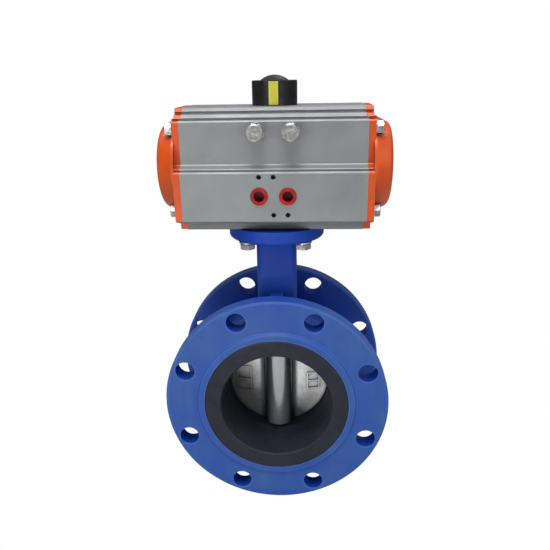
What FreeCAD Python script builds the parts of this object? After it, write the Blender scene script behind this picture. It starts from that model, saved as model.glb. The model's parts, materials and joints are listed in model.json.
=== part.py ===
import FreeCAD, Part
import math
import os

# Double-flanged rubber-lined butterfly valve with a double-acting
# rack-and-pinion pneumatic actuator.  All lengths are in millimetres.
# The model is laid out about the stem axis (x = 0, y = 0), with the pipe
# axis along y at z = 0, and is shifted on export so that the origin is the
# centre of the inlet flange's face.

# ---- driving dimensions: flanges and valve body ------------------------
FACE_TO_FACE = 110.0
FLANGE_R = 103.0
FLANGE_THICK = 16.0
FLANGE_HOLE_COUNT = 8
FLANGE_HOLE_R = 9.0
BOLT_CIRCLE_R = 90.0
RAISED_R = 72.0
RAISED_HEIGHT = 2.0
BARREL_R = 71.0
LINER_SEAT_R = 58.0
LIP_R = 66.5
LIP_THICK = 5.6
LIP_PROUD = 0.6
NECK_WIDTH = 36.0
NECK_CORNER = 5.0
PAD_R = 43.5
PAD_THICK = 12.0
PAD_TOP = 161.5
PAD_BOLT_CIRCLE_R = 35.0
PAD_HOLE_R = 4.5
PAD_WASHER_THICK = 1.2
PAD_SPRING_THICK = 1.6
PAD_HEAD_THICK = 4.2
RETAINER_R = 16.0
BOSS_R = 22.0
BOSS_BOTTOM = -92.0
GUSSET_WIDTH = 12.0
GUSSET_TOP = 98.0

# ---- driving dimensions: liner, disc and stems -------------------------
SEAT_R = 50.0
THROAT_R = 51.3
DISC_R = 49.7
DISC_PLATE_HALF = 6.0
DISC_EDGE_HALF = 3.0
DISC_FRAME_HEIGHT = 1.3
DISC_FRAME_RIB = 1.3
HUB_R = 15.75
STEM_R = 9.0
STEM_SQUARE = 14.0
BUSH_R = 12.5
RUNNING_GAP = 0.05
LOOSE_GAP = 0.1

# ---- driving dimensions: actuator --------------------------------------
HOUSING_HALF = 78.0
HOUSING_TOP = 264.2
CYLINDER_Z = 213.0
CYLINDER_R = 31.5
CAP_PLATE_END = 84.0
CAP_LEDGE_END = 82.3
CAP_LIP_START = 76.0
CAP_LIP_TOP = 255.6
CAP_LIP_BOTTOM = 167.3
CAP_END = 100.3
CAP_FOOT_R = 42.4
CAP_RECESS_R = 30.0
CAP_BOLT_Y = 29.0
CAP_BOLT_RISE = 34.0
CAP_BOLT_DROP = 35.5
CAP_WASHER_THICK = 1.2
STOP_X = 14.4
STOP_Z = 245.0
STOP_TIP_Y = -13.0
PORT_SPACING = 24.0
PORT_Z = 193.0
PORT_R = 5.7
PORT_DEPTH = 8.0
PORT_FACE = 43.0
CHANNEL_R = 2.5
CHANNEL_Y = -38.0
CHANNEL_Z = 183.0
STOP_FACE = 35.0
AIR_VALVE_SCREW_RISE = 32.0
ACCESSORY_X = 80.0
ACCESSORY_Y = 30.0

# ---- driving dimensions: rack and pinion --------------------------------
GEAR_MODULE = 2.0
GEAR_TEETH = 16
PRESSURE_ANGLE = math.radians(20.0)
BACKLASH = 0.15
GEAR_HALF = 16.0
JOURNAL_R = 21.0
UPPER_JOURNAL_R = 12.0
LOWER_BEARING_R = 24.0
UPPER_BEARING_R = 14.5
CAM_R = 20.0
CAM_POCKET_R = 22.0
PISTON_R = 31.2
PISTON_INNER = 33.0
PISTON_OUTER = 47.0
RACK_TIP = -31.5
RACK_HALF_HEIGHT = 13.0
GROOVE_DEPTH = 3.0

# ---- driving dimensions: indicator --------------------------------------
DRUM_R = 19.4
DRUM_TOP = 284.5
CROWN_R = 12.1
CROWN_TOP = 288.9
STRIPE_WIDTH = 7.9

# ---- derived values ------------------------------------------------------
HALF = FACE_TO_FACE / 2
FLANGE_BACK = HALF - FLANGE_THICK
RAISED_FACE = HALF + RAISED_HEIGHT
LIP_FACE = RAISED_FACE + LIP_PROUD
LIP_FLOOR = LIP_FACE - LIP_THICK
PAD_BOTTOM = PAD_TOP - PAD_THICK
RETAINER_FLOOR = PAD_TOP - 3.5
PITCH_R = GEAR_MODULE * GEAR_TEETH / 2
TOOTH_PITCH = math.pi * GEAR_MODULE
PIECE_SHIFT = FreeCAD.Vector(0, HALF, 0)

M5_TAP_R = 2.1
M6_TAP_R = 2.5
M6_R = 3.0
M8_R = 4.0
M6_FLATS = 10.0
M8_FLATS = 13.0
M8_HEAD_THICK = 5.3
M8_NUT_THICK = 5.0
STOP_WASHER_THICK = 1.2
X_AXIS = FreeCAD.Vector(1, 0, 0)
Y_AXIS = FreeCAD.Vector(0, 1, 0)
Z_AXIS = FreeCAD.Vector(0, 0, 1)


# ---- shape helpers -------------------------------------------------------
def cyl_x(radius, x0, x1, y=0.0, z=0.0):
    """Cylinder along x from x0 to x1."""
    return Part.makeCylinder(radius, x1 - x0, FreeCAD.Vector(x0, y, z), X_AXIS)


def cyl_y(radius, y0, y1, x=0.0, z=0.0):
    """Cylinder along y from y0 to y1."""
    return Part.makeCylinder(radius, y1 - y0, FreeCAD.Vector(x, y0, z), Y_AXIS)


def cyl_z(radius, z0, z1, x=0.0, y=0.0):
    """Cylinder along z from z0 to z1."""
    return Part.makeCylinder(radius, z1 - z0, FreeCAD.Vector(x, y, z0), Z_AXIS)


def ring_z(outer, inner, z0, z1, x=0.0, y=0.0):
    """Plain ring about a line parallel to z."""
    return cyl_z(outer, z0, z1, x, y).cut(cyl_z(inner, z0 - 1, z1 + 1, x, y))


def block(x0, x1, y0, y1, z0, z1):
    """Box between two corners."""
    return Part.makeBox(x1 - x0, y1 - y0, z1 - z0, FreeCAD.Vector(x0, y0, z0))


def square_z(width, z0, z1):
    """Square bar about the stem axis."""
    half = width / 2
    return block(-half, half, -half, half, z0, z1)


def prism(points, direction):
    """Closed outline of 3-D points, extruded along a vector."""
    wire = Part.makePolygon(points + [points[0]])
    return Part.Face(wire).extrude(direction)


def profile_x(points, x0, x1):
    """Outline of (y, z) points, extruded along x."""
    outline = [FreeCAD.Vector(x0, y, z) for y, z in points]
    return prism(outline, FreeCAD.Vector(x1 - x0, 0, 0))


def revolve(points, centre, axis):
    """Closed outline of 3-D points turned fully about an axis."""
    wire = Part.makePolygon(points + [points[0]])
    return Part.Face(wire).revolve(centre, axis, 360)


def turned_y(points):
    """Outline of (radius, y) points turned about the pipe axis."""
    outline = [FreeCAD.Vector(r, y, 0) for r, y in points]
    return revolve(outline, FreeCAD.Vector(0, 0, 0), Y_AXIS)


def hexagon(across_flats, centre, axis, length, turn=0.0):
    """Hexagonal bar starting at a centre point and running along an axis."""
    corner_r = across_flats / math.sqrt(3)
    corners = []
    for index in range(6):
        angle = math.radians(60 * index + turn)
        corners.append(FreeCAD.Vector(corner_r * math.cos(angle), corner_r * math.sin(angle), 0))
    bar = prism(corners, FreeCAD.Vector(0, 0, length))
    bar = bar.common(chamfered_round(corner_r, length))
    bar.Placement = FreeCAD.Placement(centre, FreeCAD.Rotation(Z_AXIS, axis))
    return bar


def chamfered_round(corner_r, length):
    """Round bar with a 30 degree bevel, which rounds a hexagon's corners."""
    bevel = 0.19 * corner_r
    height = bevel * math.tan(math.radians(30))
    body = Part.makeCylinder(corner_r, length - height)
    tip = Part.makeCone(corner_r, corner_r - bevel, height, FreeCAD.Vector(0, 0, length - height))
    return body.fuse(tip)


def mirror_x(shape):
    """Mirror image on the other side of the stem plane."""
    return shape.mirror(FreeCAD.Vector(0, 0, 0), X_AXIS)


def turn_z(shape, degrees):
    """Copy turned about the stem axis."""
    turned = shape.copy()
    turned.rotate(FreeCAD.Vector(0, 0, 0), Z_AXIS, degrees)
    return turned


def joined(shapes):
    """One solid from several that touch or overlap."""
    return shapes[0].multiFuse(shapes[1:]).removeSplitter()


def group(shapes):
    """Separate solids kept in one sub-part."""
    return Part.makeCompound(shapes)


def round_edges(shape, radius, wanted):
    """Fillet the edges that the wanted test picks out."""
    edges = [edge for edge in shape.Edges if wanted(edge)]
    return shape.makeFillet(radius, edges)


def is_circle(edge, radius):
    """True for a circular edge of the given radius."""
    curve = edge.Curve
    return isinstance(curve, Part.Circle) and abs(curve.Radius - radius) < 1e-4


def corner_places(half_x, half_y):
    """The four corners of a rectangle about the origin."""
    return [(sx * half_x, sy * half_y) for sx in (-1, 1) for sy in (-1, 1)]


# ---- valve body and its bushes ------------------------------------------
def rounded_square(width, corner, z0, z1):
    """Square bar about the stem axis with round vertical edges."""
    bar = square_z(width, z0, z1)
    return round_edges(bar, corner, lambda edge: abs(edge.BoundBox.ZLength - (z1 - z0)) < 1e-4)


def flange_holes():
    """Through holes of both flanges, straddling the vertical centre line."""
    holes = []
    for index in range(FLANGE_HOLE_COUNT):
        angle = 2 * math.pi * (index + 0.5) / FLANGE_HOLE_COUNT
        x = BOLT_CIRCLE_R * math.cos(angle)
        z = BOLT_CIRCLE_R * math.sin(angle)
        holes.append(cyl_y(FLANGE_HOLE_R, -HALF - 5, HALF + 5, x, z))
    return holes


def flange_outline(side):
    """Flange and its raised ring as (radius, y) points, on one side."""
    bevel = 1.5
    rim = [
        (LINER_SEAT_R - 1, FLANGE_BACK), (FLANGE_R - bevel, FLANGE_BACK),
        (FLANGE_R, FLANGE_BACK + bevel), (FLANGE_R, HALF - bevel), (FLANGE_R - bevel, HALF),
        (RAISED_R + RAISED_HEIGHT, HALF), (RAISED_R, RAISED_FACE), (LINER_SEAT_R - 1, RAISED_FACE),
    ]
    return [(r, side * y) for r, y in rim]


def gusset(side):
    """Rib between the neck and the back of a flange."""
    outline = [(side * 10, 60), (side * FLANGE_BACK, 60), (side * FLANGE_BACK, GUSSET_TOP - 6),
               (side * (FLANGE_BACK - 6), GUSSET_TOP - 2), (side * 10, GUSSET_TOP)]
    half = GUSSET_WIDTH / 2
    return profile_x(outline, -half, half)


def valve_body():
    """Ductile-iron casting: barrel, two flanges, stem neck, actuator pad and bottom boss."""
    neck = rounded_square(NECK_WIDTH, NECK_CORNER, BARREL_R - 15, PAD_BOTTOM + 1)
    pad = cyl_z(PAD_R, PAD_BOTTOM, PAD_TOP)
    pad = round_edges(pad, 3.0, lambda edge: is_circle(edge, PAD_R) and edge.CenterOfMass.z < PAD_BOTTOM + 1)
    boss = cyl_z(BOSS_R, BOSS_BOTTOM, -BARREL_R + 12)
    boss = boss.fuse(block(-BOSS_R, BOSS_R, -FLANGE_BACK, FLANGE_BACK, -BARREL_R - 6, -BARREL_R + 12))
    parts = [cyl_y(BARREL_R, -FLANGE_BACK - 1, FLANGE_BACK + 1), neck, pad, boss]
    for side in (-1, 1):
        parts.append(turned_y(flange_outline(side)))
        parts.append(gusset(side))
    body = joined(parts)
    body = round_edges(body, 3.0, is_neck_root)
    cuts = flange_holes()
    cuts.append(cyl_y(LINER_SEAT_R, -HALF - 5, HALF + 5))
    cuts.append(cyl_y(LIP_R, -HALF - 5, -LIP_FLOOR))
    cuts.append(cyl_y(LIP_R, LIP_FLOOR, HALF + 5))
    cuts.append(cyl_z(BUSH_R, 0, PAD_TOP + 1))
    cuts.append(cyl_z(RETAINER_R, RETAINER_FLOOR, PAD_TOP + 1))
    cuts.append(cyl_z(BUSH_R, BOSS_BOTTOM - 1, 0))
    cuts.append(cyl_z(15.0, BOSS_BOTTOM - 1, BOSS_BOTTOM + 8))
    for x, y in pad_bolt_places():
        cuts.append(cyl_z(PAD_HOLE_R, PAD_BOTTOM - 1, PAD_TOP + 1, x, y))
    return body.cut(group(cuts))


def is_neck_root(edge):
    """Edges where the neck meets the underside of the actuator pad."""
    box = edge.BoundBox
    half = NECK_WIDTH / 2 + 0.01
    flat = box.ZLength < 1e-4 and abs(box.ZMin - PAD_BOTTOM) < 1e-4
    return flat and max(abs(box.XMin), abs(box.XMax), abs(box.YMin), abs(box.YMax)) < half


def pad_bolt_places():
    """Centres of the four actuator bolts, at 45 degrees on their circle."""
    offset = PAD_BOLT_CIRCLE_R / math.sqrt(2)
    return corner_places(offset, offset)


def upper_stem_bush():
    """Bush between the liner and the neck bore, at the foot of the upper stem."""
    return ring_z(BUSH_R, STEM_R + RUNNING_GAP, LINER_SEAT_R + 2, 84)


def neck_top_bush():
    """Bush that guides the upper stem at the top of the neck."""
    return ring_z(BUSH_R, STEM_R + RUNNING_GAP, 120, 146)


def lower_stem_bush():
    """Bush that carries the lower stem."""
    return ring_z(BUSH_R, STEM_R + RUNNING_GAP, -82, -LINER_SEAT_R - 2)


def stem_seals():
    """Two rubber rings above the top bush that keep dirt and leaks out."""
    return group([ring_z(BUSH_R, STEM_R + RUNNING_GAP, z, z + 3.4) for z in (147.0, 151.0)])


def stem_seal_retainer():
    """Flat ring that holds the stem seals down in the neck."""
    return ring_z(RETAINER_R, STEM_R + 0.3, RETAINER_FLOOR, RETAINER_FLOOR + 2.0)


def bottom_plug():
    """Hexagon-head plug that closes the lower stem bore."""
    plug = cyl_z(14.8, BOSS_BOTTOM + 1.5, BOSS_BOTTOM + 8)
    flange = cyl_z(19.0, BOSS_BOTTOM - 3, BOSS_BOTTOM - 1.0)
    neck = cyl_z(14.8, BOSS_BOTTOM - 1.5, BOSS_BOTTOM + 2)
    head = hexagon(19.0, FreeCAD.Vector(0, 0, BOSS_BOTTOM - 2.5), -Z_AXIS, 6.0)
    return joined([plug, neck, flange, head])


def bottom_plug_washer():
    """Sealing washer under the bottom plug."""
    return ring_z(19.0, 15.0, BOSS_BOTTOM - 1.0, BOSS_BOTTOM)


def seat_liner():
    """Rubber liner: seat band in the bore and a sealing lip on each flange face."""
    half_outline = [
        (SEAT_R, 14), (THROAT_R, 22), (THROAT_R, LIP_FACE - 1), (THROAT_R + 1, LIP_FACE),
        (LIP_R - 1, LIP_FACE), (LIP_R, LIP_FACE - 1), (LIP_R, LIP_FLOOR), (LINER_SEAT_R, LIP_FLOOR),
    ]
    outline = half_outline + [(r, -y) for r, y in reversed(half_outline)]
    liner = turned_y(outline)
    return liner.cut(cyl_z(STEM_R + RUNNING_GAP, -70, 70))


# ---- disc and stems --------------------------------------------------------
def disc_plate(extra):
    """Tapered round plate of the disc, thickened on both faces by an extra height."""
    middle = DISC_PLATE_HALF + extra
    edge = DISC_EDGE_HALF + extra
    half_outline = [(0, middle), (30, middle), (DISC_R - 3, edge), (DISC_R - 0.6, edge - 0.6), (DISC_R, 1.2)]
    return turned_y(half_outline + [(r, -y) for r, y in reversed(half_outline)])


def disc_frame(x0, x1, z0, z1):
    """Raised rectangular border with one cross bar, on the front of a wing."""
    rib = DISC_FRAME_RIB
    middle = (z0 + z1) / 2
    border = block(x0, x1, -9, -3, z0, z1)
    border = border.cut(block(x0 + rib, x1 - rib, -9, -3, z0 + rib, z1 - rib))
    bar = block(x0, x1, -9, -3, middle - rib / 2, middle + rib / 2)
    return border.fuse(bar).common(disc_plate(DISC_FRAME_HEIGHT))


def disc():
    """Closure disc: tapered plate, upright hub and a plain raised frame on each wing."""
    hub = cyl_z(HUB_R, -DISC_R, DISC_R).common(Part.makeSphere(DISC_R))
    frames = [disc_frame(-42.0, -27.0, -13.0, 14.0), disc_frame(28.0, 41.0, -10.0, 8.0)]
    body = joined([disc_plate(0.0), hub] + frames)
    socket = square_z(STEM_SQUARE, 12.0, DISC_R + 1)
    pin_hole = cyl_z(STEM_R, -DISC_R - 1, -14.0)
    clear_top = cyl_z(STEM_R, 30.0, DISC_R + 1)
    return body.cut(group([socket, pin_hole, clear_top]))


def upper_stem():
    """Drive stem with a square foot in the disc and a square head in the pinion."""
    round_part = cyl_z(STEM_R, 30.0, PAD_TOP + 0.5)
    foot = square_z(STEM_SQUARE, 13.0, 32.0).common(cyl_z(STEM_R, 12, 33))
    head = square_z(STEM_SQUARE, PAD_TOP, PAD_TOP + 18.0).common(cyl_z(STEM_R, PAD_TOP - 1, PAD_TOP + 19))
    return joined([round_part, foot, head])


def lower_stem():
    """Plain stem that carries the foot of the disc."""
    return cyl_z(STEM_R, -83.0, -15.0)


# ---- pinion ------------------------------------------------------------------
def involute_point(base_r, angle):
    """Point of the involute of a circle, before it is turned into place."""
    return (base_r * (math.cos(angle) + angle * math.sin(angle)),
            base_r * (math.sin(angle) - angle * math.cos(angle)))


def gear_tooth(tip_r, root_r, z0, z1):
    """One pinion tooth pointing along +x, with involute flanks."""
    base_r = PITCH_R * math.cos(PRESSURE_ANGLE)
    involute = math.tan(PRESSURE_ANGLE) - PRESSURE_ANGLE
    half_tooth = (TOOTH_PITCH / 2 - BACKLASH) / 2 / PITCH_R + involute
    tip_angle = math.sqrt((tip_r / base_r) ** 2 - 1)
    steps = 6
    flank = []
    for index in range(steps + 1):
        px, py = involute_point(base_r, tip_angle * index / steps)
        turn = -half_tooth
        flank.append(FreeCAD.Vector(px * math.cos(turn) - py * math.sin(turn),
                                    px * math.sin(turn) + py * math.cos(turn), z0))
    root = FreeCAD.Vector((root_r - 1) * math.cos(half_tooth), -(root_r - 1) * math.sin(half_tooth), z0)
    lower = [root] + flank
    upper = [FreeCAD.Vector(p.x, -p.y, p.z) for p in reversed(lower)]
    return prism(lower + upper, FreeCAD.Vector(0, 0, z1 - z0))


def cam_lobe(z0, z1):
    """Sector on the pinion that meets one travel stop at each end of the turn."""
    gap = 0.3
    start = math.asin((STOP_TIP_Y + gap) / CAM_R)
    end = math.pi / 2 - start
    sector = Part.makeCylinder(CAM_R, z1 - z0, FreeCAD.Vector(0, 0, z0), Z_AXIS, math.degrees(end - start))
    return turn_z(sector, math.degrees(start))


def drive_pinion():
    """Pinion: lower journal, gear, stop cam, upper journal and indicator stub."""
    gear0 = CYLINDER_Z - GEAR_HALF
    gear1 = CYLINDER_Z + GEAR_HALF
    root_r = PITCH_R - 1.2 * GEAR_MODULE
    parts = [
        cyl_z(JOURNAL_R, PAD_TOP + 0.5, 186.0), cyl_z(root_r, 185.0, gear1),
        cyl_z(root_r - 0.4, gear1, 252.0), cam_lobe(238.5, 248.5),
        cyl_z(UPPER_JOURNAL_R, 251.0, HOUSING_TOP + 3.0),
        cyl_z(8.0, HOUSING_TOP + 2.0, HOUSING_TOP + 12.0),
    ]
    for index in range(GEAR_TEETH):
        parts.append(turn_z(gear_tooth(PITCH_R + 0.9 * GEAR_MODULE, root_r, gear0, gear1),
                            index * 360.0 / GEAR_TEETH))
    body = joined(parts)
    socket = square_z(STEM_SQUARE, PAD_TOP, PAD_TOP + 19.0)
    socket = socket.common(cyl_z(STEM_R + RUNNING_GAP, PAD_TOP - 1, PAD_TOP + 20))
    screw_hole = cyl_z(M6_R + LOOSE_GAP, HOUSING_TOP, HOUSING_TOP + 13.0)
    clip_groove = ring_z(UPPER_JOURNAL_R + 1, UPPER_JOURNAL_R - 1, HOUSING_TOP + 1.3, HOUSING_TOP + 2.5)
    flats = group([block(-9, 9, 6.5, 9, HOUSING_TOP + 3.0, HOUSING_TOP + 13),
                   block(-9, 9, -9, -6.5, HOUSING_TOP + 3.0, HOUSING_TOP + 13)])
    return body.cut(group([socket, screw_hole, clip_groove])).cut(flats)


def pinion_lower_bearing():
    """Plastic bearing ring for the pinion's lower journal."""
    return ring_z(LOWER_BEARING_R, JOURNAL_R + RUNNING_GAP, 168.0, 180.0)


def pinion_upper_bearing():
    """Plastic bearing ring for the pinion's upper journal."""
    return ring_z(UPPER_BEARING_R, UPPER_JOURNAL_R + RUNNING_GAP, 252.5, 258.0)


def pinion_lower_seal():
    """Rubber ring below the lower bearing."""
    return ring_z(LOWER_BEARING_R, JOURNAL_R + RUNNING_GAP, 163.5, 167.0)


def pinion_upper_seal():
    """Rubber ring above the upper bearing."""
    return ring_z(UPPER_BEARING_R, UPPER_JOURNAL_R + RUNNING_GAP, 258.5, 261.5)


def pinion_thrust_washer():
    """Washer between the housing top and the retaining clip."""
    return ring_z(16.5, UPPER_JOURNAL_R + RUNNING_GAP, HOUSING_TOP, HOUSING_TOP + 1.2)


def pinion_clip():
    """Retaining clip with a gap, sprung into the groove of the upper journal."""
    clip = ring_z(15.5, UPPER_JOURNAL_R - 1, HOUSING_TOP + 1.3, HOUSING_TOP + 2.5)
    return clip.cut(block(-3, 3, 5, 20, HOUSING_TOP, HOUSING_TOP + 4))


# ---- position indicator ---------------------------------------------------------
def stripe_blocks(depth):
    """Front and rear strips of the drum where the coloured bars sit."""
    half = STRIPE_WIDTH / 2
    strips = []
    for side in (-1, 1):
        y0, y1 = sorted((side * (DRUM_R - depth), side * (DRUM_R + 1)))
        strips.append(block(-half, half, y0, y1, HOUSING_TOP + 0.9, DRUM_TOP))
    return strips


def indicator_drum():
    """Black drum that fits over the pinion stub and shows the valve's position."""
    drum = cyl_z(DRUM_R, HOUSING_TOP + 0.5, DRUM_TOP)
    drum = round_edges(drum, 1.0, lambda edge: is_circle(edge, DRUM_R) and edge.CenterOfMass.z > DRUM_TOP - 1)
    cuts = [cyl_z(17.0, HOUSING_TOP, HOUSING_TOP + 3.0), cyl_z(8.0 + LOOSE_GAP, HOUSING_TOP, HOUSING_TOP + 12.0),
            cyl_z(M6_R + 0.3, HOUSING_TOP, DRUM_TOP + 1)]
    return drum.cut(group(cuts + stripe_blocks(1.6)))


def indicator_stripes():
    """Yellow bars let into the front and rear of the drum."""
    bars = []
    for strip in stripe_blocks(1.6):
        bars.append(strip.common(cyl_z(DRUM_R, HOUSING_TOP, DRUM_TOP - 0.8)))
    return group(bars)


def indicator_screw():
    """Domed cap screw that holds the drum on the pinion."""
    shank = cyl_z(M6_R, HOUSING_TOP + 1.0, DRUM_TOP + 0.5)
    crown_height = CROWN_TOP - DRUM_TOP
    ball_r = (CROWN_R ** 2 + crown_height ** 2) / (2 * crown_height)
    ball = Part.makeSphere(ball_r, FreeCAD.Vector(0, 0, CROWN_TOP - ball_r))
    crown = ball.common(cyl_z(CROWN_R + 1, DRUM_TOP, CROWN_TOP + 1))
    return joined([shank, crown])


# ---- actuator housing and caps ----------------------------------------------------
def housing_outline(inset=0.0):
    """Half section of the extrusion as (y, z) points, from bottom to top."""
    lower = [
        (30.0, PAD_TOP), (31.0, PAD_TOP + 1.0), (31.0, 167.2), (33.0, 170.2), (41.5, 170.2),
        (PORT_FACE, 171.7),
    ]
    groove = [
        (PORT_FACE, 212.0), (42.0, 213.4), (40.6, 213.4), (40.6, 214.8), (42.0, 215.2), (41.5, 215.8),
        (36.0, 217.8), (STOP_FACE, 218.8),
    ]
    upper = [
        (STOP_FACE, 252.8), (34.0, 254.0), (31.0, 254.4), (31.0, 255.6), (32.2, 256.1), (29.6, 258.7),
        (25.4, 259.1), (25.4, 260.5), (26.6, 261.2), (24.2, 263.4), (22.4, HOUSING_TOP),
    ]
    return ([(y - inset, z + inset) for y, z in lower] + [(y - inset, z) for y, z in groove]
            + [(y - inset, z - inset) for y, z in upper])


def full_outline(inset=0.0):
    """Whole section of the extrusion, mirrored about the stem plane."""
    rear = housing_outline(inset)
    return rear + [(-y, z) for y, z in reversed(rear)]


def port_x(side):
    """Place of an air port along the housing: -1 left, 1 right."""
    return side * PORT_SPACING / 2


def cap_bolt_places():
    """(y, z) centres of the four bolts of each end cap."""
    heights = (CYLINDER_Z - CAP_BOLT_DROP, CYLINDER_Z + CAP_BOLT_RISE)
    return [(side * CAP_BOLT_Y, z) for side in (-1, 1) for z in heights]


def actuator_housing():
    """Extruded aluminium cylinder with its stem bores, ports and tapped holes."""
    body = profile_x(full_outline(), -HOUSING_HALF, HOUSING_HALF)
    body = body.cut(cap_lip_zones(1, 0.0)).cut(cap_lip_zones(-1, 0.0))
    face = -PORT_FACE
    cuts = [
        cyl_x(CYLINDER_R, -HOUSING_HALF - 1, HOUSING_HALF + 1, 0, CYLINDER_Z),
        cyl_z(LOWER_BEARING_R, PAD_TOP - 1, CYLINDER_Z), cyl_z(CAM_POCKET_R, CYLINDER_Z, 250.5),
        cyl_z(UPPER_BEARING_R, CYLINDER_Z, 261.5), cyl_z(UPPER_JOURNAL_R + 0.3, CYLINDER_Z, HOUSING_TOP + 1),
    ]
    for side in (-1, 1):
        cuts.append(cyl_y(M8_R, face, -10.0, side * STOP_X, STOP_Z))
        cuts.append(cyl_y(PORT_R, face - 1, face + PORT_DEPTH, port_x(side), PORT_Z))
        x0, x1 = sorted((side * (HOUSING_HALF - 16.0), side * (HOUSING_HALF + 1)))
        for y, z in cap_bolt_places():
            cuts.append(cyl_x(M6_TAP_R, x0, x1, y, z))
    cuts.append(cyl_y(CHANNEL_R, face, -20.0, port_x(-1), PORT_Z))
    cuts.append(cyl_x(CHANNEL_R, -HOUSING_HALF - 1, HOUSING_HALF + 1, CHANNEL_Y, CHANNEL_Z))
    cuts.append(cyl_z(2.0, CHANNEL_Z, PORT_Z, port_x(1), CHANNEL_Y))
    for x, z in air_valve_screw_holes():
        cuts.append(cyl_y(M5_TAP_R, face - 1, face + 8.0, x, z))
    for x, y in pad_bolt_places():
        cuts.append(cyl_z(M8_R, PAD_TOP - 1, PAD_TOP + 12.0, x, y))
    for x, y in corner_places(ACCESSORY_X / 2, ACCESSORY_Y / 2):
        cuts.append(cyl_z(M5_TAP_R, HOUSING_TOP - 9.0, HOUSING_TOP + 1, x, y))
    return body.cut(group(cuts))


def air_valve_screw_holes():
    """Four tapped holes round the air ports: two in the upper row, two in the lower."""
    high = PORT_Z + AIR_VALVE_SCREW_RISE / 2
    low = PORT_Z - AIR_VALVE_SCREW_RISE / 2
    return [(port_x(-1), high), (0.0, high), (0.0, low), (port_x(1), low)]


def cap_lip_zones(side, gap):
    """Top and bottom strips at a housing end where the cap's lips reach over it."""
    x0, x1 = sorted((side * (CAP_LIP_START + gap), side * (HOUSING_HALF + 1)))
    return group([block(x0, x1, -50, 50, CAP_LIP_TOP + gap, HOUSING_TOP + 5),
                  block(x0, x1, -50, 50, PAD_TOP - 5, CAP_LIP_BOTTOM - gap)])


def right_end_cap():
    """Cast cap: flat plate of the housing's outline, two lips, dome and air recess."""
    plate = profile_x(full_outline(0.3), HOUSING_HALF, CAP_PLATE_END)
    trims = group([block(CAP_LEDGE_END, CAP_END, -50, 50, CAP_LIP_TOP, HOUSING_TOP + 5),
                   block(CAP_LEDGE_END, CAP_END, -50, 50, PAD_TOP - 5, CAP_LIP_BOTTOM)])
    plate = plate.cut(trims)
    lips = profile_x(full_outline(0.3), CAP_LIP_START, HOUSING_HALF + 0.5).common(cap_lip_zones(1, LOOSE_GAP))
    cap = joined([plate, cap_dome()] + lips.Solids)
    cuts = [cyl_x(CAP_RECESS_R, HOUSING_HALF - 1, 95.0, 0, CYLINDER_Z),
            block(HOUSING_HALF - 1, 81.0, CHANNEL_Y - 3, -18.0, CHANNEL_Z - 2.5, 190.0)]
    for y, z in cap_bolt_places():
        cuts.append(cyl_x(7.4, CAP_PLATE_END, CAP_END + 2, y, z))
        cuts.append(cyl_x(M6_R + 0.3, HOUSING_HALF - 1, CAP_PLATE_END + 1, y, z))
    return cap.cut(group(cuts))


def cap_dome():
    """Round crown of a cap, turned about the cylinder axis."""
    outline = [
        (CAP_PLATE_END - 1, 0.0), (CAP_PLATE_END - 1, CAP_FOOT_R), (CAP_PLATE_END + 1, CAP_FOOT_R),
        (96.5, 36.3), (98.4, 34.0), (99.4, 31.0), (CAP_END, 0.0),
    ]
    centre, foot, foot_end, shoulder, rim_mid, rim_end, crown = [
        FreeCAD.Vector(x, 0, CYLINDER_Z + r) for x, r in outline
    ]
    edges = [Part.LineSegment(start, end).toShape() for start, end in (
        (crown, centre), (centre, foot), (foot, foot_end), (foot_end, shoulder), (rim_end, crown))]
    edges.insert(4, Part.Arc(shoulder, rim_mid, rim_end).toShape())
    face = Part.Face(Part.Wire(edges))
    return face.revolve(FreeCAD.Vector(0, 0, CYLINDER_Z), X_AXIS, 360)


def right_cap_seal():
    """Rubber ring set in the mouth of the cap recess, against the housing end."""
    outer = cyl_x(CAP_RECESS_R, HOUSING_HALF, HOUSING_HALF + 2.4, 0, CYLINDER_Z)
    return outer.cut(cyl_x(CAP_RECESS_R - 2.4, HOUSING_HALF - 1, HOUSING_HALF + 4, 0, CYLINDER_Z))


def right_cap_bolts():
    """Hexagon-head bolts that hold the cap."""
    bolts = []
    for y, z in cap_bolt_places():
        seat = CAP_PLATE_END + CAP_WASHER_THICK
        shank = cyl_x(M6_TAP_R, HOUSING_HALF - 14.0, seat + 1, y, z)
        head = hexagon(M6_FLATS, FreeCAD.Vector(seat, y, z), X_AXIS, 5.0, 15.0)
        bolts.append(shank.fuse(head))
    return group(bolts)


def right_cap_washers():
    """Flat washers under the cap bolts."""
    rings = []
    for y, z in cap_bolt_places():
        disk = cyl_x(6.2, CAP_PLATE_END, CAP_PLATE_END + CAP_WASHER_THICK, y, z)
        rings.append(disk.cut(cyl_x(M6_R + LOOSE_GAP, CAP_PLATE_END - 1, CAP_END, y, z)))
    return group(rings)


# ---- travel stops, ports and pad bolts ---------------------------------------------
def stop_bolts():
    """Two adjusting bolts that limit the pinion's turn."""
    head_y = -STOP_FACE - 8.5
    bolts = []
    for side in (-1, 1):
        shank = cyl_y(M8_R, head_y - 1.0, STOP_TIP_Y, side * STOP_X, STOP_Z)
        centre = FreeCAD.Vector(side * STOP_X, head_y, STOP_Z)
        head = hexagon(M8_FLATS, centre, -Y_AXIS, M8_HEAD_THICK, 30.0 + 4.0 * side)
        bolts.append(shank.fuse(head))
    return group(bolts)


def stop_locknuts():
    """Nuts that lock the stop bolts."""
    nuts = []
    for side in (-1, 1):
        seat = FreeCAD.Vector(side * STOP_X, -STOP_FACE - STOP_WASHER_THICK, STOP_Z)
        nut = hexagon(M8_FLATS, seat, -Y_AXIS, M8_NUT_THICK, 6.0 * side)
        nuts.append(nut.cut(cyl_y(M8_R, -60, -30, side * STOP_X, STOP_Z)))
    return group(nuts)


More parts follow.
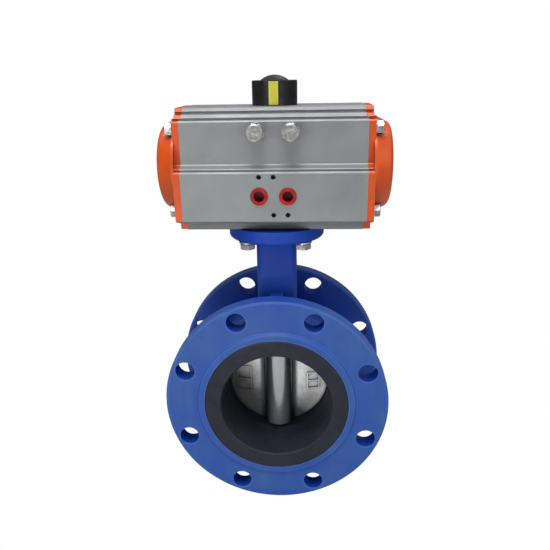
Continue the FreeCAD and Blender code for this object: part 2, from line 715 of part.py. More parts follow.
def stop_washers():
    """Sealing washers under the lock nuts."""
    rings = []
    for side in (-1, 1):
        disk = cyl_y(7.4, -STOP_FACE - STOP_WASHER_THICK, -STOP_FACE, side * STOP_X, STOP_Z)
        rings.append(disk.cut(cyl_y(M8_R, -60, -30, side * STOP_X, STOP_Z)))
    return group(rings)


def port_plug(side):
    """Hollow plastic plug pressed into an air port for transport."""
    x = port_x(side)
    rim_face = -PORT_FACE - 1.3
    body = cyl_y(PORT_R, -PORT_FACE, -PORT_FACE + 7.5, x, PORT_Z)
    body = body.fuse(cyl_y(7.3, rim_face, -PORT_FACE, x, PORT_Z))
    return body.cut(cyl_y(4.5, rim_face - 1, -PORT_FACE + 6.0, x, PORT_Z))


def pad_bolts():
    """Bolts that clamp the actuator to the neck pad from below."""
    bolts = []
    for x, y in pad_bolt_places():
        seat = FreeCAD.Vector(x, y, PAD_BOTTOM - PAD_WASHER_THICK - PAD_SPRING_THICK)
        shank = cyl_z(M8_R, seat.z - 0.5, PAD_TOP + 11.0, x, y)
        head = hexagon(M8_FLATS, seat, -Z_AXIS, PAD_HEAD_THICK, 24.0)
        bolts.append(shank.fuse(head))
    return group(bolts)


def pad_washers():
    """Flat washers of the pad bolts."""
    bottom = PAD_BOTTOM - PAD_WASHER_THICK
    return group([ring_z(7.6, M8_R + LOOSE_GAP, bottom, PAD_BOTTOM, x, y) for x, y in pad_bolt_places()])


def pad_spring_washers():
    """Split spring washers of the pad bolts."""
    top = PAD_BOTTOM - PAD_WASHER_THICK
    bottom = top - PAD_SPRING_THICK
    rings = []
    for x, y in pad_bolt_places():
        ring = ring_z(6.6, M8_R + LOOSE_GAP, bottom, top, x, y)
        gap = block(x - 0.7, x + 0.7, y, y + 9, bottom - 1, top + 1)
        rings.append(ring.cut(gap))
    return group(rings)


# ---- pistons --------------------------------------------------------------------------
def rack_outline():
    """Toothed front rack as (x, y) points, with a tooth gap at x = 0."""
    addendum = 0.9 * GEAR_MODULE
    dedendum = 1.25 * GEAR_MODULE
    slope = math.tan(PRESSURE_ANGLE)
    half_tooth = (TOOTH_PITCH / 2 - BACKLASH) / 2
    tip_y = -PITCH_R + addendum
    root_y = -PITCH_R - dedendum
    points = [(RACK_TIP, root_y)]
    for index in range(-5, 2):
        centre = (index + 0.5) * TOOTH_PITCH
        if centre - TOOTH_PITCH / 2 < RACK_TIP:
            continue
        points.append((centre - half_tooth - dedendum * slope, root_y))
        points.append((centre - half_tooth + addendum * slope, tip_y))
        points.append((centre + half_tooth - addendum * slope, tip_y))
        points.append((centre + half_tooth + dedendum * slope, root_y))
    points += [(PISTON_INNER + 1, root_y), (PISTON_INNER + 1, -40.0), (RACK_TIP, -40.0)]
    return points


def right_piston():
    """Piston with the front rack, whose arm reaches past the pinion."""
    z0 = CYLINDER_Z - RACK_HALF_HEIGHT
    outline = [FreeCAD.Vector(x, y, z0) for x, y in rack_outline()]
    arm = prism(outline, FreeCAD.Vector(0, 0, 2 * RACK_HALF_HEIGHT))
    arm = arm.common(cyl_x(PISTON_R, RACK_TIP - 1, PISTON_INNER + 2, 0, CYLINDER_Z))
    crown = cyl_x(PISTON_R, PISTON_INNER, PISTON_OUTER, 0, CYLINDER_Z)
    grooves = [piston_groove(PISTON_INNER + 2.0, 2.5), piston_groove(PISTON_INNER + 7.0, 4.0)]
    pocket = cyl_x(20.0, PISTON_INNER + 6.0, PISTON_OUTER + 1, 0, CYLINDER_Z)
    return joined([arm, crown]).cut(group(grooves + [pocket]))


def piston_groove(x0, width):
    """Ring-shaped groove in the piston's rim."""
    outer = cyl_x(PISTON_R + 1, x0, x0 + width, 0, CYLINDER_Z)
    return outer.cut(cyl_x(PISTON_R - GROOVE_DEPTH, x0 - 1, x0 + width + 1, 0, CYLINDER_Z))


def piston_band(x0, width):
    """Ring that fills a piston groove and runs on the cylinder wall."""
    outer = cyl_x(CYLINDER_R - RUNNING_GAP, x0, x0 + width, 0, CYLINDER_Z)
    return outer.cut(cyl_x(PISTON_R - GROOVE_DEPTH + LOOSE_GAP, x0 - 1, x0 + width + 1, 0, CYLINDER_Z))


def right_piston_guide():
    """Plastic guide band of the right piston."""
    return piston_band(PISTON_INNER + 2.0, 2.5)


def right_piston_ring():
    """Rubber sealing ring of the right piston."""
    return piston_band(PISTON_INNER + 7.0, 4.0)


# ---- export ----------------------------------------------------------------------------
def all_parts():
    """Every sub-part by name, still centred on the stem axis."""
    parts = {
        "valve_body": valve_body(), "seat_liner": seat_liner(),
        "upper_stem_bush": upper_stem_bush(), "neck_top_bush": neck_top_bush(),
        "lower_stem_bush": lower_stem_bush(), "stem_seals": stem_seals(),
        "stem_seal_retainer": stem_seal_retainer(), "bottom_plug": bottom_plug(),
        "bottom_plug_washer": bottom_plug_washer(), "disc": disc(), "upper_stem": upper_stem(),
        "lower_stem": lower_stem(), "drive_pinion": drive_pinion(),
        "pinion_lower_bearing": pinion_lower_bearing(), "pinion_upper_bearing": pinion_upper_bearing(),
        "pinion_lower_seal": pinion_lower_seal(), "pinion_upper_seal": pinion_upper_seal(),
        "pinion_thrust_washer": pinion_thrust_washer(), "pinion_clip": pinion_clip(),
        "indicator_drum": indicator_drum(), "indicator_stripes": indicator_stripes(),
        "indicator_screw": indicator_screw(), "actuator_housing": actuator_housing(),
        "stop_bolts": stop_bolts(), "stop_locknuts": stop_locknuts(), "stop_washers": stop_washers(),
        "left_port_plug": port_plug(-1), "right_port_plug": port_plug(1),
        "pad_bolts": pad_bolts(), "pad_washers": pad_washers(),
        "pad_spring_washers": pad_spring_washers(),
    }
    sided = {
        "end_cap": right_end_cap(), "cap_seal": right_cap_seal(), "cap_bolts": right_cap_bolts(),
        "cap_washers": right_cap_washers(),
    }
    for name, shape in sided.items():
        parts["right_" + name] = shape
        parts["left_" + name] = mirror_x(shape)
    moving = {
        "piston": right_piston(), "piston_guide": right_piston_guide(), "piston_ring": right_piston_ring(),
    }
    for name, shape in moving.items():
        parts["right_" + name] = shape
        parts["left_" + name] = turn_z(shape, 180)
    return parts


def main():
    """Write one STEP file per sub-part."""
    os.makedirs("parts", exist_ok=True)
    for name, shape in all_parts().items():
        placed = shape.copy()
        placed.translate(PIECE_SHIFT)
        placed.exportStep("parts/" + name + ".step")
        print(name, len(placed.Solids), placed.isValid(), round(placed.Volume))


main()
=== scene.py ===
import json
import math

import bmesh
import bpy
from mathutils import Matrix, Vector


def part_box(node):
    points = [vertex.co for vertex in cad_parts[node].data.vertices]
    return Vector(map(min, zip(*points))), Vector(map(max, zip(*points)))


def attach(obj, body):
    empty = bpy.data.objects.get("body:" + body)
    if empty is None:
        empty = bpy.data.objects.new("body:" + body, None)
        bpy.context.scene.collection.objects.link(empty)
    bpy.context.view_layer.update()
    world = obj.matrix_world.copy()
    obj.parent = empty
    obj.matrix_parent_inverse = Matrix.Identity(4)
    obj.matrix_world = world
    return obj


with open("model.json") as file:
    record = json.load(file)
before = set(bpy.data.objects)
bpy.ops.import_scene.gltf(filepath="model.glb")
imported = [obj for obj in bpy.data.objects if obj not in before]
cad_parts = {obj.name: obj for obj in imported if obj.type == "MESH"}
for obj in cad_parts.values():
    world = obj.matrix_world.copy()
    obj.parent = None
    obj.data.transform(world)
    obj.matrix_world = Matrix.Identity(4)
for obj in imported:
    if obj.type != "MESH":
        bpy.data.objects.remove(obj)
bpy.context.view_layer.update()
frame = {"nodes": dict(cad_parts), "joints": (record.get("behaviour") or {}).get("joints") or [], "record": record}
MM = 0.001

# ---- places taken from the frame ------------------------------------------
NODES = frame["nodes"]
STEM_Y = frame["joints"][0]["pos_m"][1]
BODY_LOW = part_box("valve_body")[0]

# ---- sizes of the part that the added details and paint follow ----------------
BARREL_R = 71.0 * MM             # outside of the barrel between the flanges
NECK_HALF = 18.0 * MM            # half the neck's width
NECK_FOOT, NECK_HEAD = 0.068, 0.1495   # heights between which the seam climbs the neck
HUB_HALF = 0.0146                # where the disc's hub meets its wings, off the stem axis
PAINT_SHADE = (0.09, 0.13)       # heights over which the paint darkens up the neck: painted shade under the actuator
HOUSING_UNDERSIDE = (0.1665, 0.1715)   # heights over which the painted shade below fades out
STOP_X = 14.4 * MM               # stop bolts, each side of the middle
STOP_HEAD = 5.3 * MM             # length of a stop bolt's head
THREAD_PITCH = 0.9 * MM
THREAD_ROOT_R, THREAD_CREST_R = 3.85 * MM, 4.3 * MM
SEAM_HEIGHT, SEAM_WIDTH = 0.45 * MM, 1.7 * MM
RIDGE_SUNK = 0.4 * MM            # how far a ridge's foot lies below the surface

# ---- studio ------------------------------------------------------------------
SWEEP_GREY = 0.36
FLOOR_GAP = 0.0005               # between the flange and the floor
FLOOR_R, COVE_R, WALL_TOP = 2.6, 0.9, 2.6
WORLD_STRENGTH = 0.6
LENS, SENSOR = 37.2, 36.0        # millimetres
CAMERA_ANGLES = (19.34, 3.42, -1.0)    # pitch, yaw and roll in degrees
CAMERA_PLACE = Vector((0.0281, STEM_Y - 0.5103, 0.2881))

# ---- node details --------------------------------------------------------------
SHADER_SAMPLES = 6               # rays for each bevel and occlusion lookup
MIX_A, MIX_B, MIX_OUT = 6, 7, 2  # the Mix node's colour sockets
NOISE_MIDDLE = (0.3, 0.7)        # where most of a noise pattern lies


# ---- node-building helpers ---------------------------------------------------
class Surface:
    """A material under construction, with short calls for the nodes it needs."""

    def __init__(self, name, color, rough=0.5, metal=0.0, **sockets):
        self.mat = bpy.data.materials.new(name)
        self.mat.use_nodes = True
        self.tree = self.mat.node_tree
        self.shader = self.tree.nodes["Principled BSDF"]
        self.shader.inputs["Base Color"].default_value = (*color, 1.0)
        self.shader.inputs["Roughness"].default_value = rough
        self.shader.inputs["Metallic"].default_value = metal
        for socket, value in sockets.items():
            self.shader.inputs[socket.replace("_", " ")].default_value = value
        self.coords = self.node("ShaderNodeTexCoord").outputs["Object"]

    def node(self, kind, **inputs):
        """Adds a node and sets its named inputs: a number, a colour or a link."""
        made = self.tree.nodes.new(kind)
        for name, value in inputs.items():
            self.put(made.inputs[name.replace("_", " ")], value)
        return made

    def put(self, socket, value):
        """Sets a socket's value, or links it to another node's output."""
        if isinstance(value, bpy.types.NodeSocket):
            self.tree.links.new(value, socket)
        else:
            socket.default_value = value

    def stretch(self, scale):
        """Object coordinates scaled differently along each axis."""
        return self.node("ShaderNodeMapping", Vector=self.coords, Scale=scale).outputs["Vector"]

    def noise(self, scale, detail=3.0, rough=0.55, vector=None, seed=0.0):
        """Fractal noise; scale is in cycles per metre."""
        made = self.tree.nodes.new("ShaderNodeTexNoise")
        made.noise_dimensions = "4D"
        self.put(made.inputs["Vector"], vector or self.coords)
        self.put(made.inputs["W"], seed)
        self.put(made.inputs["Scale"], scale)
        self.put(made.inputs["Detail"], detail)
        self.put(made.inputs["Roughness"], rough)
        return made.outputs["Fac"]

    def cells(self, scale):
        """Distance to the nearest point of a random cell pattern."""
        return self.node("ShaderNodeTexVoronoi", Vector=self.coords, Scale=scale).outputs["Distance"]

    def ramp(self, value, low, high, out_low=0.0, out_high=1.0):
        """Maps low..high to out_low..out_high, held at both ends."""
        made = self.node("ShaderNodeMapRange", Value=value)
        limits = {"From Min": low, "From Max": high, "To Min": out_low, "To Max": out_high}
        for name, number in limits.items():
            made.inputs[name].default_value = number
        return made.outputs["Result"]

    def spread(self, pattern, out_low=0.0, out_high=1.0):
        """Maps the middle of a noise pattern to out_low..out_high."""
        return self.ramp(pattern, *NOISE_MIDDLE, out_low, out_high)

    def axes(self):
        """Object coordinates as separate X, Y and Z values."""
        return self.node("ShaderNodeSeparateXYZ", Vector=self.coords).outputs

    def math(self, operation, *values):
        """Arithmetic on one or two values."""
        made = self.tree.nodes.new("ShaderNodeMath")
        made.operation = operation
        for socket, value in zip(made.inputs, values):
            self.put(socket, value)
        return made.outputs["Value"]

    def blend(self, factor, a, b):
        """Mix of two colours."""
        made = self.tree.nodes.new("ShaderNodeMix")
        made.data_type = "RGBA"
        self.put(made.inputs["Factor"], factor)
        for index, value in ((MIX_A, a), (MIX_B, b)):
            linked = isinstance(value, bpy.types.NodeSocket)
            self.put(made.inputs[index], value if linked else (*value, 1.0))
        return made.outputs[MIX_OUT]

    def rounded(self, radius):
        """Normal of the surface as if its edges were rounded."""
        made = self.node("ShaderNodeBevel", Radius=radius)
        made.samples = SHADER_SAMPLES
        return made.outputs["Normal"]

    def edges(self, radius, gain=6.0):
        """1 on sharp edges, fading to 0 on flat faces."""
        plain = self.node("ShaderNodeNewGeometry").outputs["Normal"]
        dot = self.tree.nodes.new("ShaderNodeVectorMath")
        dot.operation = "DOT_PRODUCT"
        self.put(dot.inputs[0], self.rounded(radius))
        self.put(dot.inputs[1], plain)
        bent = self.math("SUBTRACT", 1.0, dot.outputs["Value"])
        return self.ramp(bent, 0.0, 1.0 / gain)

    def hollows(self, distance, own=False):
        """1 in the open, falling to 0 in crevices; own counts only the piece itself."""
        made = self.tree.nodes.new("ShaderNodeAmbientOcclusion")
        made.samples = SHADER_SAMPLES
        made.only_local = own
        made.inputs["Distance"].default_value = distance
        return made.outputs["AO"]

    def lighten_edges(self, tone, light, radius, amount):
        """Lightens a tone by an amount along edges."""
        return self.blend(self.math("MULTIPLY", self.edges(radius), amount), tone, light)

    def shade(self, tone, dark, distance, low, high, amount, own=False):
        """Painted shade: darkens a tone in hollows, by amount below low openness, not at all above high."""
        shut = self.ramp(self.hollows(distance, own), low, high, amount, 0.0)
        return self.blend(shut, tone, dark)

    def bump(self, height, depth, round_off=0.0):
        """Puts relief of a depth in metres on the surface, over edges rounded by round_off."""
        made = self.tree.nodes.new("ShaderNodeBump")
        made.inputs["Distance"].default_value = depth
        self.put(made.inputs["Height"], height)
        if round_off:
            self.put(made.inputs["Normal"], self.rounded(round_off))
        self.put(self.shader.inputs["Normal"], made.outputs["Normal"])

    def drive(self, socket, value):
        """Links a pattern to one of the shader's sockets."""
        self.put(self.shader.inputs[socket], value)

    def color(self, value):
        self.drive("Base Color", value)

    def rough(self, value):
        self.drive("Roughness", value)

    def rough_patches(self, low, high, scale, detail, seed):
        """Roughness that wanders between low and high."""
        self.rough(self.spread(self.noise(scale, detail, seed=seed), low, high))


# ---- materials -----------------------------------------------------------------
def painted_casting(name, base, dark, light):
    """Epoxy paint over sand-cast iron: sand texture, runs, mottling, lighter edges from thin paint
    with a painted highlight on the rims. Painted shade darkens hollows and the neck under the actuator, and
    hollows shine less."""
    s = Surface(name, base, 0.4, Specular_IOR_Level=0.18)
    mottle = s.ramp(s.noise(26.0, 5.0, 0.6), 0.35, 0.75)
    runs = s.ramp(s.noise(1.0, 4.0, vector=s.stretch((90.0, 90.0, 9.0)), seed=7.0), 0.5, 0.72)
    tone = s.blend(s.math("MULTIPLY", mottle, 0.55), base, dark)
    tone = s.blend(s.math("MULTIPLY", runs, 0.1), tone, light)
    # lighter edges: thin paint over the edges, and a painted highlight on the flange rims
    tone = s.lighten_edges(tone, light, 0.0018, 0.75)
    # painted shade: wide darkening where the casting hides itself
    tone = s.shade(tone, dark, 0.12, 0.3, 0.95, 1.0, own=True)
    # painted shade under the actuator: the paint darkens up the neck and over the pad
    tone = s.blend(s.ramp(s.axes()["Z"], *PAINT_SHADE, 0.0, 0.85), tone, dark)
    # painted shade in narrow hollows and holes
    tone = s.shade(tone, dark, 0.012, 0.2, 0.95, 0.9)
    specks = s.ramp(s.noise(700.0, 3.0, seed=9.0), 0.7, 0.78, 0.0, 0.5)
    tone = s.blend(specks, tone, light)
    s.color(tone)
    s.rough_patches(0.4, 0.56, scale=60.0, detail=5.0, seed=3.0)
    s.drive("Specular IOR Level", s.ramp(s.hollows(0.02), 0.3, 0.95, 0.03, 0.18))
    sand = s.math("MULTIPLY", s.noise(950.0, 3.0, seed=1.0), 0.3)
    s.bump(s.math("ADD", s.noise(210.0, 4.0), sand), 0.0003, 0.0009)
    return s.mat


def powder_coat(name, base, dark, light):
    """Smooth powder coat on a die casting: orange peel, worn edges, painted shade in the corners."""
    s = Surface(name, base, 0.35, Specular_IOR_Level=0.3, Coat_Weight=0.2, Coat_Roughness=0.2)
    tone = s.blend(s.ramp(s.noise(40.0, 4.0), 0.4, 0.8, 0.0, 0.5), base, dark)
    # painted shade in wide hollows
    tone = s.shade(tone, dark, 0.05, 0.4, 0.95, 0.5)
    tone = s.lighten_edges(tone, light, 0.001, 0.6)
    # painted shade in narrow corners
    s.color(s.shade(tone, dark, 0.01, 0.25, 0.95, 0.65))
    s.rough_patches(0.28, 0.45, scale=90.0, detail=4.0, seed=2.0)
    s.bump(s.noise(480.0, 3.0), 0.00012, 0.0008)
    return s.mat


def extruded_aluminium(name, base, dark, light):
    """Satin anodised extrusion: faint die lines along x, blotches, rubs. The shade on its
    underside and in its grooves is painted on."""
    s = Surface(name, base, metal=0.35, Specular_IOR_Level=0.4)
    lines = s.noise(1.0, 5.0, 0.7, vector=s.stretch((3.0, 1400.0, 1400.0)))
    blotch = s.ramp(s.noise(24.0, 5.0, 0.6), 0.4, 0.75)
    grains = s.spread(s.noise(2200.0, 2.0, seed=6.0))
    tone = s.blend(s.math("MULTIPLY", blotch, 0.62), base, dark)
    tone = s.blend(s.spread(lines, 0.0, 0.12), tone, dark)
    tone = s.blend(s.math("MULTIPLY", grains, 0.1), tone, light)
    tone = s.lighten_edges(tone, light, 0.0006, 0.8)
    # painted shade in the grooves and corners
    tone = s.shade(tone, dark, 0.004, 0.3, 0.9, 0.15)
    underside = s.ramp(s.axes()["Z"], *HOUSING_UNDERSIDE, 1.0, 0.0)
    shadow = s.math("MULTIPLY", underside, s.ramp(s.hollows(0.03), 0.35, 0.98, 0.9, 0.0))
    tone = s.blend(shadow, tone, (0.035, 0.037, 0.04))
    streaks = s.noise(1.0, 3.0, vector=s.stretch((35.0, 420.0, 160.0)), seed=8.0)
    s.color(s.blend(s.ramp(streaks, 0.68, 0.76, 0.0, 0.25), tone, light))
    s.rough_patches(0.42, 0.56, scale=55.0, detail=4.0, seed=5.0)
    s.bump(s.math("ADD", s.math("MULTIPLY", lines, 0.25), grains), 0.00002, 0.0005)
    return s.mat


def moulded_rubber(name, base, dust):
    """Moulded rubber: fine grain, patches of grey bloom, specks, and dust along the edges."""
    s = Surface(name, base, 0.6, Specular_IOR_Level=0.3)
    bloom = s.ramp(s.noise(45.0, 6.0, 0.65), 0.42, 0.8, 0.0, 0.35)
    tone = s.lighten_edges(s.blend(bloom, base, dust), dust, 0.0012, 0.6)
    specks = s.ramp(s.noise(900.0, 2.0, seed=5.0), 0.74, 0.8, 0.0, 0.6)
    s.color(s.blend(specks, tone, dust))
    s.rough_patches(0.5, 0.72, scale=120.0, detail=4.0, seed=4.0)
    s.bump(s.noise(1100.0, 4.0), 0.00009, 0.0006)
    return s.mat


def disc_finish(name, cast, cast_dark, turned, turned_dark):
    """Plated iron disc: sand-cast wings and a ground hub with tool marks. Painted on:
    shade in the wings' hollows, on their lower left and in a dark line beside the hub,
    and the bore's dark reflection as the hub's dark sides and foot."""
    painted_dark = (0.02, 0.021, 0.024)
    s = Surface(name, cast, 0.45)
    axes = s.axes()
    off_axis = s.math("ABSOLUTE", axes["X"])
    hub = s.ramp(off_axis, HUB_HALF, HUB_HALF + 0.0003, 1.0, 0.0)
    wing = s.blend(s.ramp(s.noise(180.0, 5.0, 0.65), 0.4, 0.8), cast, cast_dark)
    pits = s.ramp(s.cells(420.0), 0.05, 0.3, 0.3, 0.0)
    wing = s.blend(pits, wing, cast_dark)
    # painted shade in the wings' hollows
    wing = s.shade(wing, (0.04, 0.04, 0.045), 0.004, 0.4, 0.95, 1.0)
    # painted shade: a dark line on the wings beside the hub
    root = s.ramp(off_axis, HUB_HALF + 0.002, HUB_HALF + 0.005, 0.93, 0.0)
    wing = s.blend(root, wing, painted_dark)
    rings = s.noise(1.0, 3.0, vector=s.stretch((90.0, 90.0, 2200.0)))
    smooth = s.blend(s.spread(rings, 0.0, 0.4), turned, turned_dark)
    # painted reflection: dark bands down the hub's sides, the dark bore mirrored in it
    sides = s.ramp(off_axis, 0.0085, 0.0125, 0.0, 0.85)
    smooth = s.blend(sides, smooth, (0.045, 0.046, 0.05))
    # painted shade towards the disc's foot and left side, weaker on the hub as a painted reflection
    slant = s.math("ADD", axes["Z"], s.math("MULTIPLY", axes["X"], 0.65))
    ragged = s.spread(s.noise(45.0, 4.0, seed=3.0), -0.006, 0.006)
    foot = s.ramp(s.math("ADD", slant, ragged), -0.026, 0.016, 0.94, 0.0)
    painted_foot = s.math("MULTIPLY", foot, s.ramp(hub, 0.0, 1.0, 1.0, 0.12))
    s.color(s.blend(painted_foot, s.blend(hub, wing, smooth), painted_dark))
    s.drive("Metallic", s.ramp(hub, 0.0, 1.0, 0.15, 0.95))
    polish = s.math("MULTIPLY", hub, s.ramp(axes["Z"], -0.04, 0.005, 0.235, 0.3))
    s.rough(s.math("SUBTRACT", 0.5, polish))
    sand = s.math("ADD", s.noise(520.0, 4.0), s.math("MULTIPLY", s.cells(800.0), 0.7))
    sand = s.math("MULTIPLY", sand, s.ramp(hub, 0.0, 1.0, 1.0, 0.04))
    s.bump(sand, 0.0004, 0.0006)
    return s.mat


def turned_metal(name, base, dark, rough=0.3, lines_axis=2):
    """Turned or plated metal with fine tool marks across lines_axis and dulled patches."""
    s = Surface(name, base, rough, 1.0)
    scale = [60.0, 60.0, 60.0]
    scale[lines_axis] = 2600.0
    lines = s.noise(1.0, 3.0, vector=s.stretch(tuple(scale)))
    tone = s.blend(s.ramp(s.noise(150.0, 3.0), 0.4, 0.75), base, dark)
    # painted shade in hollows
    tone = s.shade(tone, dark, 0.004, 0.3, 0.9, 0.7)
    s.color(s.lighten_edges(tone, (0.85, 0.85, 0.84), 0.0004, 0.5))
    s.rough_patches(rough * 0.85, rough * 1.25, scale=160.0, detail=3.0, seed=1.0)
    s.bump(lines, 0.000006, 0.0003)
    return s.mat


def zinc_plate(name, base, dark, light):
    """Bright zinc plate: cloudy faces, a painted highlight along the edges, painted shade in the corners."""
    s = Surface(name, base, 0.35, 1.0)
    cloud = s.ramp(s.noise(330.0, 4.0, 0.6), 0.35, 0.68)
    tone = s.blend(cloud, base, dark)
    # painted shade in the corners
    tone = s.shade(tone, dark, 0.008, 0.3, 0.95, 0.95)
    # painted highlight along the edges
    s.color(s.blend(s.edges(0.0009, 3.0), tone, light))
    s.rough_patches(0.28, 0.46, scale=210.0, detail=3.0, seed=1.0)
    s.bump(s.noise(420.0, 3.0, seed=2.0), 0.00012, 0.00035)
    return s.mat


def moulded_plastic(name, base, dark, rough=0.35, specular=0.5):
    """Injection-moulded plastic: light texture, uneven tone, painted shade in the corners."""
    s = Surface(name, base, rough, Specular_IOR_Level=specular)
    tone = s.blend(s.ramp(s.noise(90.0, 4.0), 0.4, 0.75), base, dark)
    # painted shade in the corners
    s.color(s.shade(tone, dark, 0.009, 0.25, 0.95, 0.9))
    s.rough_patches(rough * 0.75, rough * 1.35, scale=260.0, detail=5.0, seed=3.0)
    s.bump(s.noise(1400.0, 2.0), 0.00003, 0.0004)
    return s.mat


def all_materials():
    """One material for each of the record's slots."""
    looks = (
        ("stem_steel", turned_metal, (0.5, 0.5, 0.52), (0.3, 0.3, 0.32)),
        ("pinion_steel", turned_metal, (0.42, 0.42, 0.44), (0.26, 0.26, 0.28)),
        ("spring_steel", turned_metal, (0.2, 0.2, 0.22), (0.1, 0.1, 0.11), 0.42),
        ("zinc_fastener", zinc_plate,
         (0.55, 0.55, 0.54), (0.17, 0.17, 0.17), (1.0, 1.0, 0.98)),
        ("piston_aluminium", turned_metal, (0.5, 0.51, 0.52), (0.34, 0.35, 0.36), 0.38, 0),
        ("bush_bronze", turned_metal, (0.6, 0.4, 0.18), (0.4, 0.25, 0.1), 0.35),
        ("blue_casting", painted_casting,
         (0.0335, 0.086, 0.265), (0.0032, 0.036, 0.31), (0.09, 0.2, 0.5)),
        ("orange_cap", powder_coat,
         (0.56, 0.072, 0.007), (0.28, 0.026, 0.004), (0.8, 0.17, 0.04)),
        ("anodised_aluminium", extruded_aluminium,
         (0.215, 0.228, 0.232), (0.145, 0.154, 0.158), (0.45, 0.46, 0.47)),
        ("liner_rubber", moulded_rubber, (0.0075, 0.0095, 0.0175), (0.027, 0.031, 0.046)),
        # the disc's cast colour is pure white, lighter than plated iron: painted light, so the wings come out
        # light inside the dark bore
        ("disc_iron", disc_finish,
         (1.0, 1.0, 1.0), (0.62, 0.63, 0.64), (0.66, 0.68, 0.68), (0.46, 0.48, 0.48)),
        ("bearing_plastic", moulded_plastic, (0.6, 0.58, 0.5), (0.42, 0.4, 0.33), 0.5),
        ("seal_rubber", moulded_rubber, (0.008, 0.008, 0.008), (0.03, 0.03, 0.03)),
        ("black_plastic", moulded_plastic,
         (0.005, 0.0055, 0.0065), (0.011, 0.011, 0.013), 0.42, 0.26),
        ("yellow_plastic", moulded_plastic, (0.47, 0.46, 0.04), (0.36, 0.34, 0.02), 0.35),
        ("red_plastic", moulded_plastic, (0.42, 0.012, 0.012), (0.07, 0.001, 0.001), 0.45, 0.2),
    )
    return {name: finish(name, *values) for name, finish, *values in looks}


def dress_nodes(materials):
    """Gives each CAD node the material of its slot."""
    for entry in frame["record"]["subparts"]:
        node = NODES[entry["node"]]
        node.data.materials.clear()
        node.data.materials.append(materials[entry["material_slot"]])


# ---- small cast and cut details ---------------------------------------------------
def new_piece(name, build, body, slot, materials):
    """Turns a bmesh into a piece that rides on a body, and frees the bmesh."""
    mesh = bpy.data.meshes.new(name)
    bmesh.ops.recalc_face_normals(build, faces=build.faces)
    for face in build.faces:
        face.smooth = True
    build.to_mesh(mesh)
    build.free()
    piece = bpy.data.objects.new(name, mesh)
    bpy.context.scene.collection.objects.link(piece)
    piece.data.materials.append(materials[slot])
    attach(piece, body)


def add_tube(build, sections, closed=False):
    """Skins a run of equal cross-sections, each a list of points, into a closed solid."""
    rings = [[build.verts.new(point) for point in section] for section in sections]
    pairs = list(zip(rings, rings[1:])) + ([(rings[-1], rings[0])] if closed else [])
    count = len(rings[0])
    for first, second in pairs:
        for index in range(count):
            after = (index + 1) % count
            build.faces.new((first[index], first[after], second[after], second[index]))
    if not closed:
        build.faces.new(list(reversed(rings[0])))
        build.faces.new(rings[-1])


def ridge_section(centre, outward, across, height, width):
    """Low rounded ridge; the two corners at -1 are sunk below the surface it sits on."""
    shape = ((-0.5, -1.0), (-0.5, 0.0), (-0.3, 0.75), (0.0, 1.0),
             (0.3, 0.75), (0.5, 0.0), (0.5, -1.0))
    return [centre + across * (width * u) + outward * (height * v if v >= 0.0 else -RIDGE_SUNK)
            for u, v in shape]


def make_mould_seam(materials):
    """Parting line of the casting: round the barrel and up both sides of the neck."""
    build = bmesh.new()
    along = Vector((0.0, 1.0, 0.0))
    round_steps, neck_steps = 160, 24

    def section(centre, outward, uneven):
        return ridge_section(centre, outward, along, SEAM_HEIGHT * uneven, SEAM_WIDTH)

    sections = []
    for index in range(round_steps):
        angle = 2 * math.pi * index / round_steps
        outward = Vector((math.cos(angle), 0.0, math.sin(angle)))
        uneven = 1.0 + 0.18 * math.sin(7 * angle) + 0.12 * math.sin(17 * angle + 1.0)
        sections.append(section(Vector((0.0, STEM_Y, 0.0)) + outward * BARREL_R, outward, uneven))
    add_tube(build, sections, closed=True)
    for side in (-1.0, 1.0):
        sections = []
        for index in range(neck_steps + 1):
            rise = NECK_FOOT + (NECK_HEAD - NECK_FOOT) * index / neck_steps
            uneven = 1.0 + 0.15 * math.sin(1.3 * index) + 0.1 * math.sin(2.9 * index)
            centre = Vector((side * NECK_HALF, STEM_Y, rise))
            sections.append(section(centre, Vector((side, 0.0, 0.0)), uneven))
        add_tube(build, sections)
    new_piece("mould_seam", build, "valve", "blue_casting", materials)


def make_stop_threads(materials):
    """Rolled thread on the short length of each stop bolt that shows behind its head."""
    nut_low, nut_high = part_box("stop_locknuts")
    start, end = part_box("stop_bolts")[0].y + STOP_HEAD, nut_low.y
    height = (nut_low.z + nut_high.z) / 2
    turns = (end - start) / THREAD_PITCH
    steps_per_turn = 28
    steps = int(turns * steps_per_turn)
    foot_half = Vector((0.0, 0.42 * THREAD_PITCH, 0.0))
    crest_half = foot_half * 0.2
    build = bmesh.new()
    for side in (-1.0, 1.0):
        sections = []
        for index in range(steps + 1):
            angle = 2 * math.pi * turns * index / steps
            outward = Vector((math.cos(angle), 0.0, math.sin(angle)))
            centre = Vector((side * STOP_X, start + (end - start) * index / steps, height))
            foot, crest = centre + outward * THREAD_ROOT_R, centre + outward * THREAD_CREST_R
            sections.append([foot - foot_half, foot + foot_half,
                             crest + crest_half, crest - crest_half])
        add_tube(build, sections)
    new_piece("stop_threads", build, "valve", "zinc_fastener", materials)


# ---- stage -----------------------------------------------------------------------
def make_camera():
    """The studio view: from above the pipe axis and a little to its right."""
    data = bpy.data.cameras.new("view_camera")
    data.sensor_width = SENSOR
    data.lens = LENS
    pitch, yaw, roll = (math.radians(angle) for angle in CAMERA_ANGLES)
    forward = Vector((-math.sin(yaw) * math.cos(pitch), math.cos(yaw) * math.cos(pitch),
                      -math.sin(pitch)))
    level = Vector((math.cos(yaw), math.sin(yaw), 0.0))
    upright = level.cross(forward)
    right = math.cos(roll) * level + math.sin(roll) * upright
    up = math.cos(roll) * upright - math.sin(roll) * level
    camera = bpy.data.objects.new("view_camera", data)
    turn = Matrix((right, up, -forward)).transposed().to_4x4()
    camera.matrix_world = Matrix.Translation(CAMERA_PLACE) @ turn
    bpy.context.scene.collection.objects.link(camera)
    bpy.context.scene.camera = camera


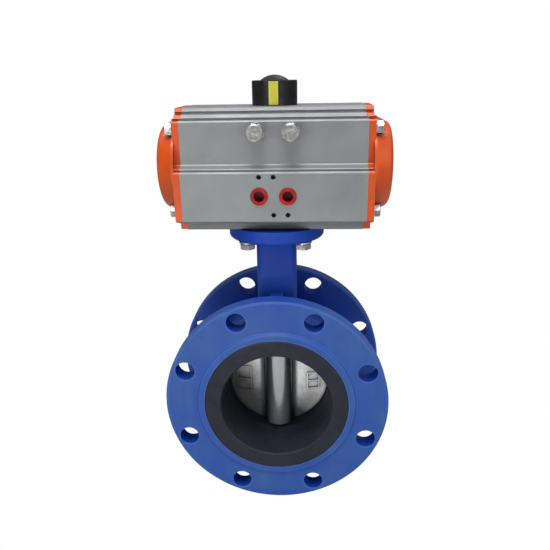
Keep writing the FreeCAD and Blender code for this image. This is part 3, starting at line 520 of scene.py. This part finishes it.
def make_sweep():
    """Plain studio floor that curves up into a round wall. The camera sees it as plain white,
    without shadows; to the object it is grey."""
    round_steps, cove_steps, merge = 96, 8, 1e-5
    profile = [(0.0, 0.0), (FLOOR_R, 0.0)]
    for index in range(1, cove_steps + 1):
        angle = index * (math.pi / 2) / cove_steps
        profile.append((FLOOR_R + COVE_R * math.sin(angle), COVE_R * (1.0 - math.cos(angle))))
    profile.append((FLOOR_R + COVE_R, WALL_TOP))
    mesh = bpy.data.meshes.new("sweep")
    build = bmesh.new()
    verts = [build.verts.new((r, 0.0, z)) for r, z in profile]
    edges = [build.edges.new(pair) for pair in zip(verts, verts[1:])]
    bmesh.ops.spin(build, geom=verts + edges, cent=(0.0, 0.0, 0.0), axis=(0.0, 0.0, 1.0),
                   angle=2 * math.pi, steps=round_steps, use_merge=True)
    bmesh.ops.remove_doubles(build, verts=build.verts, dist=merge)
    for face in build.faces:
        face.smooth = True
    build.to_mesh(mesh)
    build.free()
    sweep = bpy.data.objects.new("sweep", mesh)
    sweep.location = (0.0, STEM_Y, BODY_LOW.z - FLOOR_GAP)
    bpy.context.scene.collection.objects.link(sweep)
    surface = Surface("sweep_white", (SWEEP_GREY,) * 3, 0.9)
    links = surface.tree.links
    glow = surface.node("ShaderNodeEmission", Color=(1.0, 1.0, 1.0, 1.0))
    seen = surface.node("ShaderNodeLightPath").outputs["Is Camera Ray"]
    mix = surface.node("ShaderNodeMixShader", Fac=seen)
    links.new(surface.shader.outputs["BSDF"], mix.inputs[1])
    links.new(glow.outputs["Emission"], mix.inputs[2])
    links.new(mix.outputs["Shader"], surface.tree.nodes["Material Output"].inputs["Surface"])
    sweep.data.materials.append(surface.mat)


def area_light(name, place, aim, size, watts):
    """Square soft light with sides of a size in metres, aimed at a point."""
    data = bpy.data.lights.new(name, "AREA")
    data.shape = "SQUARE"
    data.size = size
    data.energy = watts
    light = bpy.data.objects.new(name, data)
    light.location = place
    light.rotation_euler = (Vector(aim) - Vector(place)).to_track_quat("-Z", "Y").to_euler()
    bpy.context.scene.collection.objects.link(light)


def make_lights():
    """A large key light overhead, a low light on each side in front, weak fill from the right
    and behind, a small light near the floor for the bore, and an even world that the camera
    sees as white."""
    middle = (0.0, STEM_Y, 0.08)
    area_light("key_light", (-0.1, -0.5, 1.65), middle, 1.0, 27.0)
    area_light("left_front_light", (-1.05, -1.6, 0.15), middle, 0.6, 7.5)
    area_light("right_front_light", (1.0, -1.6, 0.1), middle, 0.6, 8.0)
    area_light("side_light", (1.4, -0.6, 0.7), middle, 0.7, 2.0)
    area_light("back_light", (0.5, 1.2, 1.7), middle, 0.8, 5.0)
    bore = (0.0, STEM_Y, -0.04)
    area_light("low_light", (-0.12, -0.5, BODY_LOW.z + 0.03), bore, 0.2, 1.1)
    world = bpy.data.worlds.new("studio")
    world.use_nodes = True
    tree = world.node_tree
    background = tree.nodes["Background"]
    background.inputs["Color"].default_value = (1.0, 1.0, 1.0, 1.0)
    strength = tree.nodes.new("ShaderNodeMapRange")
    strength.inputs["To Min"].default_value = WORLD_STRENGTH
    strength.inputs["To Max"].default_value = 1.0
    seen = tree.nodes.new("ShaderNodeLightPath").outputs["Is Camera Ray"]
    tree.links.new(seen, strength.inputs["Value"])
    tree.links.new(strength.outputs["Result"], background.inputs["Strength"])
    bpy.context.scene.world = world


make_camera()
MATERIALS = all_materials()
dress_nodes(MATERIALS)
make_mould_seam(MATERIALS)
make_stop_threads(MATERIALS)
make_sweep()
make_lights()
bpy.context.scene.view_settings.view_transform = "Standard"
